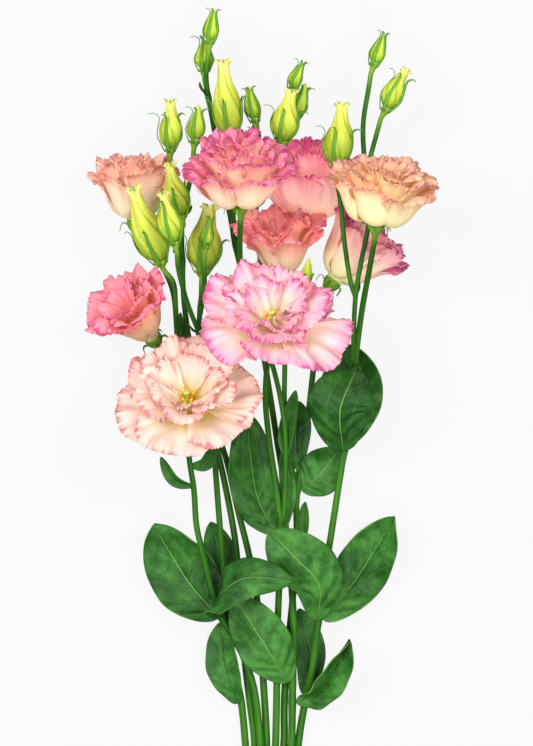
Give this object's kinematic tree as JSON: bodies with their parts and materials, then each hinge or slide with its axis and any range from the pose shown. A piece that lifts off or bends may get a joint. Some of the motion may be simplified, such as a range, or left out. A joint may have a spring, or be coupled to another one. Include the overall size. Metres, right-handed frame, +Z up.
{
  "type": "lisianthus bouquet",
  "caption": "Bunch of fringed double lisianthus lying on a surface, with open blooms, buds and broad leaves on branching stems held by a flat band.",
  "frame": {"origin": "middle of the bounding box in plan, on the surface that the bunch lies on", "axes": "+Y along the bunch from the cut ends to the buds, +X to the right as seen from above, +Z up from the surface"},
  "size_m": [0.1821, 0.4595, 0.1104],
  "materials": {
    "stem_green": "fresh green stem, waxy",
    "leaf_green": "blue-green leaf, waxy bloom",
    "bud_ripe": "rolled yellow-green petals, satin",
    "bud_young": "tight green bud, satin",
    "pistil": "yellow stamens and style, matt",
    "band": "plain rubber band, matt",
    "petal_peach_open": "thin translucent petals, satin",
    "petal_pink_open": "thin translucent petals, satin",
    "petal_pink_top": "thin translucent petals, satin",
    "petal_magenta": "thin translucent petals, satin",
    "petal_salmon": "thin translucent petals, satin",
    "petal_cream_right": "thin translucent petals, satin",
    "petal_mauve": "thin translucent petals, satin",
    "petal_peach_left": "thin translucent petals, satin",
    "petal_coral_left": "thin translucent petals, satin"
  },
  "bodies": {
    "root": {"bloom_peach_open": "petal_peach_open", "bloom_pink_open": "petal_pink_open", "bloom_pink_top": "petal_pink_top", "bloom_magenta": "petal_magenta", "bloom_salmon": "petal_salmon", "bloom_cream_right": "petal_cream_right", "bloom_mauve": "petal_mauve", "bloom_peach_left": "petal_peach_left", "bloom_coral_left": "petal_coral_left", "bud_01": "bud_young", "bud_02": "bud_young", "bud_03": "bud_ripe", "bud_04": "bud_young", "bud_05": "bud_young", "bud_06": "bud_ripe", "bud_07": "bud_young", "bud_08": "bud_young", "bud_09": "bud_ripe", "bud_10": "bud_young", "bud_11": "bud_ripe", "bud_12": "bud_ripe", "bud_13": "bud_ripe", "bud_14": "bud_ripe", "bud_15": "bud_young", "bud_16": "bud_ripe", "bud_17": "bud_young", "bud_18": "bud_ripe", "bud_19": "bud_young", "leaf_01": "leaf_green", "leaf_02": "leaf_green", "leaf_03": "leaf_green", "leaf_04": "leaf_green", "leaf_05": "leaf_green", "leaf_06": "leaf_green", "leaf_07": "leaf_green", "leaf_08": "leaf_green", "leaf_09": "leaf_green", "leaf_10": "leaf_green", "leaf_11": "leaf_green", "leaf_12": "leaf_green", "leaf_13": "leaf_green", "leaf_14": "leaf_green", "leaf_15": "leaf_green", "stem_1": "stem_green", "stem_2": "stem_green", "stem_3": "stem_green", "stem_4": "stem_green", "stem_5": "stem_green", "stem_6": "stem_green", "stem_7": "stem_green", "stem_8": "stem_green", "pistil_peach_open": "pistil", "pistil_pink_open": "pistil", "band": "band"}
  },
  "joints": []
}
